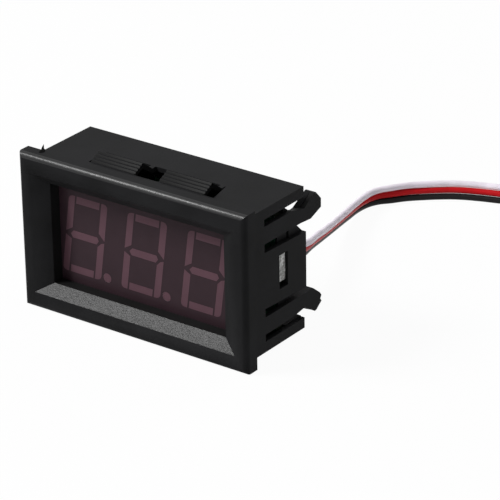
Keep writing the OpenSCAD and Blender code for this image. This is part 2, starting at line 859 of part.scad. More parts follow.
module wire(place) {
    sides = 8;
    count = len(ribbon_route);
    rings = [for (i = [0 : count - 1])
        for (k = [0 : sides - 1])
            wire_center(i, place)
                + wire_d / 2 * (cos(k * 360 / sides) * sideways(i) + sin(k * 360 / sides) * upward(i))];
    sleeve = [for (i = [0 : count - 2], k = [0 : sides - 1])
        [i * sides + k, (i + 1) * sides + k, (i + 1) * sides + (k + 1) % sides, i * sides + (k + 1) % sides]];
    start = [for (k = [0 : sides - 1]) k];
    end = [for (k = [sides - 1 : -1 : 0]) (count - 1) * sides + k];
    polyhedron(rings, concat([start], sleeve, [end]));
}

module wire_white() color("white") in_place() wire(1);
module wire_red() color("red") in_place() wire(0);
module wire_black() color([0.12, 0.12, 0.12]) in_place() wire(-1);

// The room that a wire's turns take up in the coil, cut flat where the wire comes in
module coil(place) {
    way_in = 6;
    translate([coil_center[0], coil_center[1], coil_z + (place + 1) * wire_pitch])
        difference() {
            rotate_extrude() translate([coil_inner_r, 0]) square([coil_outer_r - coil_inner_r, wire_pitch]);
            rotate(coil_heading)
                translate([-way_in, coil_start_r - wire_d / 2 - 0.02, -1]) cube([way_in, wire_d + 1, 3]);
        }
}

module coil_white() color("white") in_place() coil(1);
module coil_red() color("red") in_place() coil(0);
module coil_black() color([0.12, 0.12, 0.12]) in_place() coil(-1);

// The tie round the coil, opposite the place where the wires come in
module wire_tie() {
    room_w = coil_outer_r - coil_inner_r + 2 * free_fit;
    room_h = 3 * wire_pitch + 2 * cast_fit;
    color([0.15, 0.15, 0.15])
        in_place()
            translate([coil_center[0], coil_center[1], coil_z - cast_fit])
                rotate(coil_heading)
                    translate([coil_inner_r - free_fit, -tie_w / 2, 0])
                        difference() {
                            translate([-tie_t, 0, -tie_t])
                                cube([room_w + 2 * tie_t, tie_w, room_h + 2 * tie_t]);
                            translate([0, -1, 0]) cube([room_w, tie_w + 2, room_h]);
                        }
}

// ---------------------------------------------------------------- nodes

housing();
display_shell();
segments_left();
segments_middle();
segments_right();
decimal_points();
led_dice();
display_board();
display_potting();
display_pins();
circuit_board();
pin_solder();
controller_body();
controller_leads();
regulator_body();
regulator_leads();
diode_body();
diode_leads();
filter_capacitors();
chip_resistors();
chip_capacitors();
trimmer_base();
trimmer_leads();
trimmer_rotor();
wire_solder();
wire_white();
wire_red();
wire_black();
coil_white();
coil_red();
coil_black();
wire_tie();
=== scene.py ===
# A three-digit snap-in panel meter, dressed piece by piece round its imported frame.
# Lengths are in metres, written as millimetres times mm.
import math

import bmesh
import bpy
from mathutils import Matrix, Vector


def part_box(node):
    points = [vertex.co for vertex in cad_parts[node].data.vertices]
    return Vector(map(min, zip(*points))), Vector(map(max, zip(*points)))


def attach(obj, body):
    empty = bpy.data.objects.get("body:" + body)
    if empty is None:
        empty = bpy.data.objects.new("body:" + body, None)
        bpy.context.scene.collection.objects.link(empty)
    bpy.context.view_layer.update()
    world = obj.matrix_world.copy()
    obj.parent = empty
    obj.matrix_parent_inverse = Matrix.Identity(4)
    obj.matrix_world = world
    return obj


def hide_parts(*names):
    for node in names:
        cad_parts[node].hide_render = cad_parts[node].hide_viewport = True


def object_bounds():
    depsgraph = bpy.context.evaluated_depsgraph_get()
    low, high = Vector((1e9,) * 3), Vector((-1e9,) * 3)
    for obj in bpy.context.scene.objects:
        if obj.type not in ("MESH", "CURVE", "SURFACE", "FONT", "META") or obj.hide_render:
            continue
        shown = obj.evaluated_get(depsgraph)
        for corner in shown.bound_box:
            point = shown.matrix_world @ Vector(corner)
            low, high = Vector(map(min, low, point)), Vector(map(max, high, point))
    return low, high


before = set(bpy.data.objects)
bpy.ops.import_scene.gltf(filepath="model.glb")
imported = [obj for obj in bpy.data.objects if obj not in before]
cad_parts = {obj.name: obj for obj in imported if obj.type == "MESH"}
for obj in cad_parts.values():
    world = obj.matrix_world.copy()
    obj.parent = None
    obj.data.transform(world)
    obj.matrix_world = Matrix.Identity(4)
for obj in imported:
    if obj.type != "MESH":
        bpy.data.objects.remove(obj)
cad_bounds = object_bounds()
mm = 0.001


# ---------------------------------------------------------------- camera
# A long lens half a metre away looks down on the meter's right front corner, a
# little off level.

case_low, case_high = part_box("housing")
front_y = case_low[1]

camera_azimuth = math.radians(36.63)
camera_elevation = math.radians(25.11)
camera_roll = math.radians(-0.938)
camera_distance = 526.12 * mm
camera_lens = 222.47
aim_depth = 10 * mm
aim_offset = (14.18 * mm, -1.38 * mm)
sensor_w = 36
nearest_seen = 10 * mm

toward_camera = Vector((
    math.sin(camera_azimuth) * math.cos(camera_elevation),
    -math.cos(camera_azimuth) * math.cos(camera_elevation),
    math.sin(camera_elevation),
))
level_right = Vector((math.cos(camera_azimuth), math.sin(camera_azimuth), 0))
level_up = toward_camera.cross(level_right)
right = math.cos(camera_roll) * level_right + math.sin(camera_roll) * level_up
up = math.cos(camera_roll) * level_up - math.sin(camera_roll) * level_right

aim = Vector((0, front_y + aim_depth, case_high[2] / 2))
eye = aim + aim_offset[0] * right + aim_offset[1] * up + camera_distance * toward_camera
camera_data = bpy.data.cameras.new("camera")
camera_data.lens = camera_lens
camera_data.sensor_width = sensor_w
camera_data.clip_start = nearest_seen
camera = bpy.data.objects.new("camera", camera_data)
bpy.context.collection.objects.link(camera)
turn = Matrix((right, up, toward_camera)).transposed().to_4x4()
camera.matrix_world = Matrix.Translation(eye) @ turn
bpy.context.scene.camera = camera
bpy.context.scene.view_settings.view_transform = "Standard"


# ---------------------------------------------------------------- studio
# A pale floor that runs off to white, one large soft lamp from the upper left
# front and two weak ones that keep the back and the right side readable.

floor_half = 6000 * mm
floor_tone = 0.86
floor_glow_share = 0.955
room_tint = (0.95, 0.97, 1.0)
room_strength = 0.21
white_strength = 1.0


def link(obj):
    bpy.context.collection.objects.link(obj)
    return obj


def new_nodes(name):
    """A material with an emptied node tree and its output."""
    material = bpy.data.materials.new(name)
    material.use_nodes = True
    material.node_tree.nodes.clear()
    output = material.node_tree.nodes.new("ShaderNodeOutputMaterial")
    return material, material.node_tree.nodes, material.node_tree.links, output


def background_rays(nodes, links):
    """One where a ray is the camera's, a reflection's or goes through glass."""
    path = nodes.new("ShaderNodeLightPath")
    either = nodes.new("ShaderNodeMath")
    either.operation = "MAXIMUM"
    links.new(path.outputs["Is Camera Ray"], either.inputs[0])
    links.new(path.outputs["Is Glossy Ray"], either.inputs[1])
    any_of_three = nodes.new("ShaderNodeMath")
    any_of_three.operation = "MAXIMUM"
    links.new(either.outputs[0], any_of_three.inputs[0])
    links.new(path.outputs["Is Transmission Ray"], any_of_three.inputs[1])
    return any_of_three.outputs[0]


def make_floor():
    mesh = bpy.data.meshes.new("floor")
    corners = [(x * floor_half, y * floor_half, 0) for x, y in ((-1, -1), (1, -1), (1, 1), (-1, 1))]
    mesh.from_pydata(corners, [], [(0, 1, 2, 3)])
    floor = link(bpy.data.objects.new("floor", mesh))
    floor.location.z = min(0.0, cad_bounds[0][2])
    material, nodes, links, output = new_nodes("floor_paper")
    paper = nodes.new("ShaderNodeBsdfDiffuse")
    paper.inputs["Color"].default_value = (floor_tone, floor_tone, floor_tone, 1)
    glow = nodes.new("ShaderNodeEmission")
    glow.inputs["Strength"].default_value = white_strength
    share = nodes.new("ShaderNodeMath")
    share.operation = "MULTIPLY"
    share.inputs[1].default_value = floor_glow_share
    links.new(background_rays(nodes, links), share.inputs[0])
    mix = nodes.new("ShaderNodeMixShader")
    links.new(share.outputs[0], mix.inputs["Fac"])
    links.new(paper.outputs[0], mix.inputs[1])
    links.new(glow.outputs[0], mix.inputs[2])
    links.new(mix.outputs[0], output.inputs["Surface"])
    mesh.materials.append(material)


def make_world():
    world = bpy.data.worlds.new("studio")
    world.use_nodes = True
    nodes, links = world.node_tree.nodes, world.node_tree.links
    nodes.clear()
    output = nodes.new("ShaderNodeOutputWorld")
    room = nodes.new("ShaderNodeBackground")
    room.inputs["Color"].default_value = (*room_tint, 1)
    room.inputs["Strength"].default_value = room_strength
    white = nodes.new("ShaderNodeBackground")
    white.inputs["Strength"].default_value = white_strength
    mix = nodes.new("ShaderNodeMixShader")
    links.new(background_rays(nodes, links), mix.inputs["Fac"])
    links.new(room.outputs[0], mix.inputs[1])
    links.new(white.outputs[0], mix.inputs[2])
    links.new(mix.outputs[0], output.inputs["Surface"])
    bpy.context.scene.world = world


def soft_lamp(name, direction, distance, size, power):
    lamp = bpy.data.lights.new(name, "AREA")
    lamp.shape = "DISK"
    lamp.size = size
    lamp.energy = power
    obj = link(bpy.data.objects.new(name, lamp))
    ray = Vector(direction).normalized()
    obj.location = aim + distance * ray
    obj.rotation_euler = ray.to_track_quat("Z", "Y").to_euler()


make_floor()
make_world()
soft_lamp("key", direction=(-0.54, -0.45, 0.71), distance=0.9, size=0.32, power=8.2)
soft_lamp("right_fill", direction=(0.9, -0.5, 0.5), distance=1.2, size=0.6, power=0.3)
soft_lamp("back_fill", direction=(0.2, 0.95, 0.6), distance=1.2, size=0.6, power=2.0)


# ---------------------------------------------------------------- lead
# Three stranded wires in soft vinyl, bonded side by side. The ribbon leaves its
# solder joints, falls to the table and runs along it on its edge; the rest is wound
# into a small coil under a tie.

wire_d = 1.2 * mm
wire_pitch = wire_d + 0.01 * mm
# X, depth behind the bezel's front and height in mm, the ribbon's lean in degrees (90 is
# upright, with the white wire on top) and the wires' spacing in mm
ribbon_route = [
    (14.5, 15.0, 10.5, 90, 2.0),
    (14.5, 17.6, 10.5, 92, 1.8), (14.2, 21.2, 10.2, 96, 1.4), (13.7, 24.6, 9.5, 100, 1.21),
    (13.1, 28.2, 8.6, 104, 1.21), (12.4, 31.4, 7.8, 110, 1.21), (11.6, 34.6, 7.0, 114, 1.21),
    (10.0, 39.2, 6.1, 117, 1.21), (8.6, 43.6, 5.2, 119, 1.21), (6.5, 50.4, 4.0, 118, 1.21),
    (5.4, 54.0, 3.4, 117, 1.21), (4.4, 57.4, 2.9, 115, 1.21), (3.5, 60.4, 2.4, 113, 1.21),
    (2.8, 63.4, 2.1, 111, 1.21), (2.5, 65.9, 1.92, 107, 1.21), (2.6, 67.8, 1.87, 101, 1.21),
    (3.3, 69.8, 1.85, 93, 1.21), (4.5, 71.4, 1.84, 86, 1.21), (6.4, 74.0, 1.83, 80, 1.21),
    (8.8, 76.4, 1.81, 76, 1.21), (11.1, 78.4, 1.79, 72, 1.21), (13.6, 80.2, 1.76, 68, 1.21),
    (17.4, 82.0, 1.72, 65, 1.21), (21.2, 83.2, 1.76, 68, 1.21), (25.3, 84.4, 1.9, 76, 1.21),
    (29.4, 85.4, 2.15, 84, 1.21), (33.3, 86.2, 2.26, 90, 1.21),
]
coil_heading = math.radians(13)
coil_start_r = 7.1 * mm
coil_lane = 1.25 * mm
coil_turns = 1.5
points_per_turn = 16
strand_count = 7
strand_r = 0.1 * mm
strand_lay = 6 * mm
tip_length = 3.5 * mm
tip_root = 0.5 * mm
tip_steps = 14


def ribbon_points(place):
    """The middle of the wire at that place in the ribbon: -1, 0 or 1."""
    front = Vector((0, front_y, 0))
    line = [front + Vector((x, y, z)) * mm for x, y, z, lean, pitch in ribbon_route]
    points = []
    for i, (x, y, z, lean, pitch) in enumerate(ribbon_route):
        if i == 0:
            ahead = Vector((0, 1, 0))
        elif i == len(line) - 1:
            ahead = Vector((math.cos(coil_heading), math.sin(coil_heading), 0))
        else:
            ahead = (line[i + 1] - line[i - 1]).normalized()
        sideways = Vector((-ahead.y, ahead.x, 0)).normalized()
        upward = ahead.cross(sideways)
        lean = math.radians(lean)
        across = math.cos(lean) * sideways + math.sin(lean) * upward
        points.append(line[i] + place * pitch * mm * across)
    last = line[-1]
    middle = last + coil_start_r * Vector((math.sin(coil_heading), -math.cos(coil_heading), 0))
    height = last.z + place * wire_pitch
    for k in range(1, round(coil_turns * points_per_turn) + 1):
        turned = k / points_per_turn
        angle = coil_heading + math.pi / 2 - 2 * math.pi * turned
        r = coil_start_r - coil_lane * turned
        points.append(Vector((
            middle.x + r * math.cos(angle), middle.y + r * math.sin(angle), height)))
    return points


def make_wire(name, place, material):
    curve = bpy.data.curves.new(name, "CURVE")
    curve.dimensions = "3D"
    curve.bevel_depth = wire_d / 2
    curve.bevel_resolution = 5
    curve.resolution_u = 8
    curve.use_fill_caps = True
    spline = curve.splines.new("BEZIER")
    points = ribbon_points(place)
    spline.bezier_points.add(len(points) - 1)
    for knot, point in zip(spline.bezier_points, points):
        knot.co = point
        knot.handle_left_type = "AUTO"
        knot.handle_right_type = "AUTO"
    curve.materials.append(material)
    wire = link(bpy.data.objects.new(name, curve))
    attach(wire, "meter")
    return wire, points


def one_shader(name, level=0.5):
    """A material with one principled shader, ready for its tone, gloss and grain."""
    material, nodes, links, output = new_nodes(name)
    shader = nodes.new("ShaderNodeBsdfPrincipled")
    shader.inputs["Specular IOR Level"].default_value = level
    links.new(shader.outputs[0], output.inputs["Surface"])
    return material, nodes, links, shader


def noise(nodes, links, scale, detail):
    """Cloudy noise that is fixed to the piece."""
    place = nodes.new("ShaderNodeTexCoord")
    cloud = nodes.new("ShaderNodeTexNoise")
    cloud.inputs["Scale"].default_value = scale
    cloud.inputs["Detail"].default_value = detail
    links.new(place.outputs["Object"], cloud.inputs["Vector"])
    return cloud.outputs["Fac"]


def uneven_tone(nodes, links, shader, cloud, dark, light, low=0.0, high=1.0):
    """Base colour from dark to light as the noise goes from low to high."""
    tone = nodes.new("ShaderNodeValToRGB")
    for stop, position, color in zip(tone.color_ramp.elements, (low, high), (dark, light)):
        stop.position = position
        stop.color = (*color, 1)
    links.new(cloud, tone.inputs["Fac"])
    links.new(tone.outputs["Color"], shader.inputs["Base Color"])


def uneven_gloss(nodes, links, shader, cloud, low, high):
    """Roughness from low to high with the noise."""
    sheen = nodes.new("ShaderNodeMapRange")
    sheen.inputs["To Min"].default_value = low
    sheen.inputs["To Max"].default_value = high
    links.new(cloud, sheen.inputs["Value"])
    links.new(sheen.outputs["Result"], shader.inputs["Roughness"])


def fine_grain(nodes, links, shader, cloud, strength, depth):
    """Bumps as deep as that, from the noise."""
    bump = nodes.new("ShaderNodeBump")
    bump.inputs["Strength"].default_value = strength
    bump.inputs["Distance"].default_value = depth
    links.new(cloud, bump.inputs["Height"])
    links.new(bump.outputs["Normal"], shader.inputs["Normal"])


def times(color, factor):
    return [min(1, c * factor) for c in color]


def vinyl(name, color):
    """Soft extruded vinyl: satin, with faint handling marks."""
    material, nodes, links, shader = one_shader(name, level=0.12)
    shader.inputs["Roughness"].default_value = 0.4
    marks = noise(nodes, links, scale=350, detail=4)
    uneven_tone(nodes, links, shader, marks, times(color, 0.88), color, low=0.35, high=0.6)
    fine_grain(nodes, links, shader, marks, strength=0.15, depth=0.02 * mm)
    return material


def tinned(name, color=(0.78, 0.77, 0.74), roughness=0.28):
    """Tin or solder: bright metal with a slightly uneven, frosted skin."""
    material, nodes, links, shader = one_shader(name)
    shader.inputs["Metallic"].default_value = 1.0
    frost = noise(nodes, links, scale=1800, detail=3)
    uneven_tone(nodes, links, shader, frost, times(color, 0.8), color)
    uneven_gloss(nodes, links, shader, frost, roughness * 0.75, roughness * 1.5)
    fine_grain(nodes, links, shader, frost, strength=0.25, depth=0.01 * mm)
    return material


def stripped_tip(name, before, end):
    """The bare end of a wire: tinned strands, six of them twisted round the last."""
    ahead = (end - before).normalized()
    side = ahead.cross(Vector((0, 0, 1))).normalized()
    lift = side.cross(ahead)
    curve = bpy.data.curves.new(name, "CURVE")
    curve.dimensions = "3D"
    curve.bevel_depth = strand_r
    curve.bevel_resolution = 2
    curve.use_fill_caps = True
    for strand in range(strand_count):
        spline = curve.splines.new("POLY")
        spline.points.add(tip_steps)
        for k, knot in enumerate(spline.points):
            along = k / tip_steps * (tip_length + tip_root) - tip_root
            angle = strand * math.pi / 3 + 2 * math.pi * along / strand_lay
            r = 0 if strand == strand_count - 1 else 2 * strand_r
            offset = r * (math.cos(angle) * side + math.sin(angle) * lift)
            knot.co = (*(end + along * ahead + offset), 1)
    curve.materials.append(strand_tin)
    tip = link(bpy.data.objects.new(name, curve))
    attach(tip, "meter")
    return tip


wire_finishes = {
    "white": (1, vinyl("vinyl_white", (0.96, 0.89, 0.97))),
    "red": (0, vinyl("vinyl_red", (0.56, 0.008, 0.012))),
    "black": (-1, vinyl("vinyl_black", (0.014, 0.013, 0.0135))),
}
strand_tin = tinned("strand_tin", (0.76, 0.75, 0.72), roughness=0.3)
for color, (place, material) in wire_finishes.items():
    wire, points = make_wire(f"wire_{color}_insulation", place, material)
    tip = stripped_tip(f"wire_{color}_tip", points[-2], points[-1])
    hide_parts(f"wire_{color}", f"coil_{color}")


# ---------------------------------------------------------------- case
# One injection moulding in black plastic: bezel, recess, walls, slotted sides with
# hooked arms, and the snap clips. Every edge has the small round of a real mould. The
# mould is textured, coarser on the recess's lower slope, and polished on its ledge.

case_edge = 0.09 * mm
ridge_edge = 0.12 * mm
soft_edge = 0.45 * mm
sharp_from = math.radians(32)
case_axis = 14.4 * mm
recess_half_w = 21.6 * mm
recess_half_h = 11.4 * mm
slope_end = 1.75 * mm
ledge_end = 4.1 * mm
flange_round = 1.15 * mm
lower_edge_height = -9 * mm
long_edge = 5 * mm


def moulded(name, cad_name, edge=0.0, smooth_angle=sharp_from, body="meter"):
    """A copy of a solid with clean faces, rounded edges and even shading."""
    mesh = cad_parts[cad_name].data.copy()
    mesh.name = name
    mesh.materials.clear()
    form = bmesh.new()
    form.from_mesh(mesh)
    bmesh.ops.remove_doubles(form, verts=form.verts, dist=0.001 * mm)
    bmesh.ops.dissolve_limit(form, angle_limit=math.radians(1), verts=form.verts, edges=form.edges)
    for face in form.faces:
        face.smooth = True
    form.to_mesh(mesh)
    form.free()
    piece = link(bpy.data.objects.new(name, mesh))
    mesh.set_sharp_from_angle(angle=smooth_angle)
    if edge > 0:
        rounding = piece.modifiers.new("edges", "BEVEL")
        rounding.width = edge
        rounding.segments = 2
        rounding.limit_method = "ANGLE"
        rounding.angle_limit = smooth_angle
        rounding.harden_normals = True
        rounding.use_clamp_overlap = True
    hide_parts(cad_name)
    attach(piece, body)
    return piece


def textured_plastic(name, dark, light, gloss, grain_size, grain_depth, level,
                     cloud_size=8.3 * mm):
    """Moulded plastic: cloudy tone and gloss, and the fine grain of the mould."""
    material, nodes, links, shader = one_shader(name, level)
    cloud = noise(nodes, links, scale=1 / cloud_size, detail=5)
    uneven_tone(nodes, links, shader, cloud, dark, light, low=0.3, high=0.7)
    uneven_gloss(nodes, links, shader, cloud, *gloss)
    grain = noise(nodes, links, scale=1 / grain_size, detail=2)
    fine_grain(nodes, links, shader, grain, strength=0.5, depth=grain_depth)
    return material


case = moulded("case_moulding", "housing", case_edge)
satin, slope_grain, polished, worn_round = range(4)
for finish in (
    textured_plastic(
        "case_satin", (0.011, 0.011, 0.0114), (0.0165, 0.0165, 0.0175), gloss=(0.4, 0.5),
        grain_size=0.24 * mm, grain_depth=0.026 * mm, level=0.029),
    textured_plastic(
        "case_slope_grain", (0.003, 0.003, 0.003), (0.006, 0.006, 0.006), gloss=(0.27, 0.34),
        grain_size=0.2 * mm, grain_depth=0.09 * mm, level=0.14),
    textured_plastic(
        "case_polished", (0.008, 0.008, 0.008), (0.012, 0.012, 0.012), gloss=(0.4, 0.5),
        grain_size=0.4 * mm, grain_depth=0.01 * mm, level=0.06),
    textured_plastic(
        "case_worn_round", (0.01, 0.01, 0.0104), (0.0155, 0.0155, 0.016), gloss=(0.3, 0.38),
        grain_size=0.26 * mm, grain_depth=0.05 * mm, level=0.3),
):
    case.data.materials.append(finish)


def in_recess(point):
    """Whether a point lies within the recess's mouth, seen from the front."""
    return abs(point.x) < recess_half_w and abs(point.z - case_axis) < recess_half_h


# A face's place and the way it faces tell its finish.
for face in case.data.polygons:
    depth = face.center.y - front_y
    within = in_recess(face.center)
    slanted = 0.12 < abs(face.normal.y) < 0.99
    of_clip_ridge = -0.95 < face.normal.y < -0.5 and abs(face.normal.z) > 0.4
    if within and depth < slope_end and slanted and face.normal.z > 0.3:
        face.material_index = slope_grain
    elif within and depth < ledge_end and abs(face.normal.y) <= 0.3:
        face.material_index = polished
    elif depth > flange_round and of_clip_ridge:
        face.material_index = polished
    elif not within and depth < flange_round and slanted and face.normal.z > 0.2:
        face.material_index = worn_round
    else:
        face.material_index = satin

# The recess's left, top and right edges are soft, the clips' ridges a little worn and
# the mould's other edges barely rounded.
rounding = case.modifiers["edges"]
rounding.limit_method = "WEIGHT"
rounding.width = soft_edge
rounding.segments = 3
form = bmesh.new()
form.from_mesh(case.data)
weight = form.edges.layers.float.new("bevel_weight_edge")
for edge in form.edges:
    if len(edge.link_faces) != 2 or edge.calc_face_angle() < sharp_from:
        continue
    middle = (edge.verts[0].co + edge.verts[1].co) / 2
    of_recess = in_recess(middle) and middle.y - front_y < slope_end + 0.1 * mm
    below = middle.z - case_axis < lower_edge_height
    of_ridge = any(face.material_index == polished for face in edge.link_faces) and not of_recess
    if of_recess and not below and edge.calc_length() > long_edge:
        edge[weight] = 1.0
    else:
        edge[weight] = (ridge_edge if of_ridge else case_edge) / soft_edge
form.to_mesh(case.data)
form.free()

# A sliver of flash clings to the flange's top and sticks out behind it, turned up a little.
flash_from = Vector((-20.3 * mm, front_y + 1.8 * mm, case_high[2]))
flash_outline = [(-0.3, 0, 0), (-0.7, 1.05, 0.03), (-1.1, 1.75, 0.1), (-1.4, 2.6, 0.3),
                 (-0.45, 1.55, 0.1), (0, 1.3, 0.05), (0.3, 0.4, 0)]
flash_t = 0.08 * mm
under = [flash_from + Vector(point) * mm for point in flash_outline]
over = [point + Vector((0, 0, flash_t)) for point in under]
count = len(under)
rim = [(i, i + count, (i + 1) % count + count, (i + 1) % count) for i in range(count)]
flash_mesh = bpy.data.meshes.new("case_flash")
flash_mesh.from_pydata(
    under + over, [], [tuple(range(count)), tuple(reversed(range(count, 2 * count)))] + rim)
flash = link(bpy.data.objects.new("case_flash", flash_mesh))
flash_mesh.materials.append(textured_plastic(
    "case_flash_dull", (0.004, 0.004, 0.004), (0.007, 0.007, 0.007), gloss=(0.6, 0.7),
    grain_size=0.2 * mm, grain_depth=0.02 * mm, level=0.01))
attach(flash, "meter")


# ---------------------------------------------------------------- display module
# A black reflector whose wells are cast full of tinted epoxy, one for each segment
# and point, over the dice on a small board; potting closes its back, pins come out.

def tinted(name, color, roughness, level=0.4, scale=260):
    """A smooth cast or moulded surface with a trace of cloud in its tone."""
    material, nodes, links, shader = one_shader(name, level)
    cloud = noise(nodes, links, scale, detail=3)
    uneven_tone(nodes, links, shader, cloud, times(color, 0.88), times(color, 1.12))
    uneven_gloss(nodes, links, shader, cloud, roughness * 0.9, roughness * 1.15)
    return material


def dress(cad_name, material):
    """Gives a solid whose shape is already right its finish."""
    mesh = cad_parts[cad_name].data
    mesh.materials.clear()
    mesh.materials.append(material)


reflector = moulded("display_reflector", "display_shell", smooth_angle=math.radians(60))
reflector.data.materials.append(
    tinted("display_side", (0.24, 0.235, 0.22), roughness=0.5, level=0.1))
reflector.data.materials.append(
    tinted("display_face", (0.034, 0.0195, 0.0245), roughness=0.34, level=0.08))
display_side, display_face = range(2)
for face in reflector.data.polygons:
    face.use_smooth = False
    face.material_index = display_face if face.normal.y < -0.9 else display_side
segment_epoxy = tinted("segment_epoxy", (0.1, 0.05, 0.064), roughness=0.38, level=0.1)
for cad_name in ("segments_left", "segments_middle", "segments_right", "decimal_points"):
    dress(cad_name, segment_epoxy)
tin = tinned("tin")
dress("led_dice", tinned("die_gold", (0.9, 0.66, 0.3), roughness=0.2))
dress("display_board", tinted("display_laminate", (0.05, 0.16, 0.07), roughness=0.45))
dress("display_potting", tinted("potting_epoxy", (0.66, 0.62, 0.5), roughness=0.2))
pins = moulded("pins", "display_pins")
pins.data.materials.append(tin)


# ---------------------------------------------------------------- circuit board
# Glass-epoxy laminate, sheared to shape. Its tab ends show the pale, rough laminate; its other
# edges,
# # seen only in the shade inside the case, are painted near black as that shade. Green solder mask
# # covers the copper; the marking round each part is printed on it.

mask_color = (0.006, 0.05, 0.022)
mask_on_copper = (0.012, 0.11, 0.045)
tab_end = 21.9 * mm
board_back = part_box("circuit_board")[1][1]
trace_t = 0.03 * mm
pad_t = trace_t * 1.2
via_pad_t = trace_t * 1.3
print_t = 0.045 * mm
trace_w = 0.34
pad_places = [(x * 2.54 - 6.35, s) for x in range(6) for s in (-7.62, 7.62)]
lead_places = [(14.5, -3.9 + i * 2) for i in (-1, 0, 1)]
traces = [
    # the controller's upper pins to the display's
    [(-6.95, 3), (-6.95, 4.6), (-6.35, 5.2), (-6.35, 7.6)],
    [(-5.68, 3), (-5.68, 4.2), (-3.81, 6.1), (-3.81, 7.6)],
    [(-4.41, 3), (-4.41, 3.9), (-1.27, 7), (-1.27, 7.6)],
    [(-3.14, 3), (-3.14, 3.7), (0, 6.7), (1.27, 7.6)],
    [(-1.87, 3), (-1.87, 3.6), (1, 6.2), (3, 6.7), (3.81, 7.6)],
    [(-0.6, 3), (2, 5.4), (3.4, 6), (6.35, 6.4), (6.35, 7.6)],
    [(0.68, 3), (2.6, 3), (3.4, 1.9), (4.9, 1.9)],
    [(1.95, 3), (1.95, 1.1), (6.4, 1.1), (6.4, 1.9)],
    # its lower pins
    [(-6.95, -3), (-7.6, -3.6), (-7.6, -4.3)],
    [(-5.68, -3), (-5.68, -5), (-6.35, -5.7), (-6.35, -7.6)],
    [(-4.41, -3), (-4.41, -5.8), (-3.81, -6.4), (-3.81, -7.6)],
    [(-3.14, -3), (-3.14, -5), (-1.27, -6.9), (-1.27, -7.6)],
    [(-1.87, -3), (-1.87, -4.3), (1.27, -7), (1.27, -7.6)],
    [(-0.6, -3), (-0.6, -3.9), (2.6, -6.6), (3.81, -7.6)],
    [(0.68, -3), (1.4, -3.8), (2.6, -4.3)],
    [(1.95, -3), (4.6, -2.6), (5.2, -4)],
    # the lead's three joints
    [(9.85, -4), (12.4, -4), (14.5, -3.9)],
    [(14.5, -1.9), (14.5, 0.4), (7.9, 0.4), (7.9, 1.9)],
    [(14.5, -5.9), (11.4, -7.2), (8, -7.2), (6.35, -7.6)],
    # the trimmer, the small parts and the supply
    [(-14.6, 3.6), (-14.6, 5.2), (-10.8, 9)],
    [(-17.1, -3.6), (-18.7, -5.2), (-18.7, -7)],
    [(-12.1, -3.6), (-12.1, -4.3), (-9.6, -4.3)],
    [(-9.2, 9), (-7.8, 9)], [(-6.2, 9), (-4.8, 9)], [(-3.2, 9), (-1.8, 9)],
    [(-0.2, 9), (10.5, 8.9)], [(12.5, 8.9), (13.5, 8.9)],
    [(15.5, 8.9), (17, 8), (17, 6.4), (14.8, 5.2)],
    [(-18.7, 7), (-18.7, 3.5)],
    [(-18.7, -3.5), (-18.7, -1), (-10.5, -1.6), (-8.2, -1.6)],
    [(18.6, 5), (18.6, 7.6), (15.5, 8.9)],
    [(18.6, 1.8), (18.6, -6.4), (16.6, -8.2), (6.6, -8.6)],
    [(14.8, 1.8), (12, 2.6), (11.2, 6.4), (6.4, 5.4)],
]
via_places = [
    (-10.5, 3), (-10.2, -7), (11.2, 2.4), (11.4, -1.2), (17, -2), (16.8, -6.8), (-11.6, 6.4),
    (9.8, 6.6), (3.4, -9), (-8.6, 5.6), (-14, -8.6), (4.2, 8.2), (-16.8, 8.6),
]
# the printed box round each part: its middle's X and height, its width and height
outlines = [
    (-2.5, 0, 10.5, 3.1), (6.4, 3.6, 5, 3), (7.5, -4, 6, 3.2), (-14.6, 0, 7.4, 7.4),
    (14.8, 3.4, 2.4, 4.4), (18.6, 3.4, 2.4, 4.4), (14.5, -3.9, 2.8, 6.8),
    (-8.6, -4.3, 3.4, 1.9), (3.6, -4.3, 3.4, 1.9), (11.5, 8.8, 2.7, 1.6), (14.5, 8.8, 2.7, 1.6),
    (-10, 9, 2.4, 1.3), (-7, 9, 2.4, 1.3), (-4, 9, 2.4, 1.3), (-1, 9, 2.4, 1.3),
    (-19.5, 7, 2.4, 1.4), (-19.5, 3.5, 2.4, 1.4), (-19.5, -3.5, 2.4, 1.4), (-19.5, -7, 2.4, 1.4),
]
outline_w = 0.14
sunk = -0.01 * mm
disc_steps = 20
pin_pad_d, pin_hole_d = 1.95, 0.9
lead_pad_d = 1.96
via_d, via_pad_d, via_hole_d = 0.75, 0.45, 0.25


def on_back(x, height, out):
    """A place that far out of the board's back, from its X and height over the axis in mm."""
    return Vector((x * mm, board_back + out, case_axis + height * mm))


def add_bar(form, a, b, width, t):
    """A flat bar on the board's back from a to b, its ends square."""
    along = (Vector(b) - Vector(a)).normalized()
    side = Vector((-along.y, along.x)) * width / 2
    corners = [Vector(a) - side, Vector(b) - side, Vector(b) + side, Vector(a) + side]
    low = [form.verts.new(on_back(c.x, c.y, sunk)) for c in corners]
    top = [form.verts.new(on_back(c.x, c.y, t)) for c in corners]
    form.faces.new(top[::-1])
    for i in range(4):
        n = (i + 1) % 4
        form.faces.new((low[i], top[i], top[n], low[n]))


def add_disc(form, x, height, d, t, hole=0.0):
    """A round pad on the board's back, with a hole in it if asked."""

    def circle(across, out):
        ring = []
        for k in range(disc_steps):
            angle = 2 * math.pi * k / disc_steps
            place = (x + math.cos(angle) * across / 2, height + math.sin(angle) * across / 2)
            ring.append(form.verts.new(on_back(*place, out)))
        return ring

    def band(outer, inner):
        for k in range(disc_steps):
            n = (k + 1) % disc_steps
            form.faces.new((outer[k], inner[k], inner[n], outer[n]))

    rim = circle(d, t)
    band(circle(d, sunk), rim)
    if hole > 0:
        band(rim, circle(hole, t))
    else:
        form.faces.new(rim[::-1])


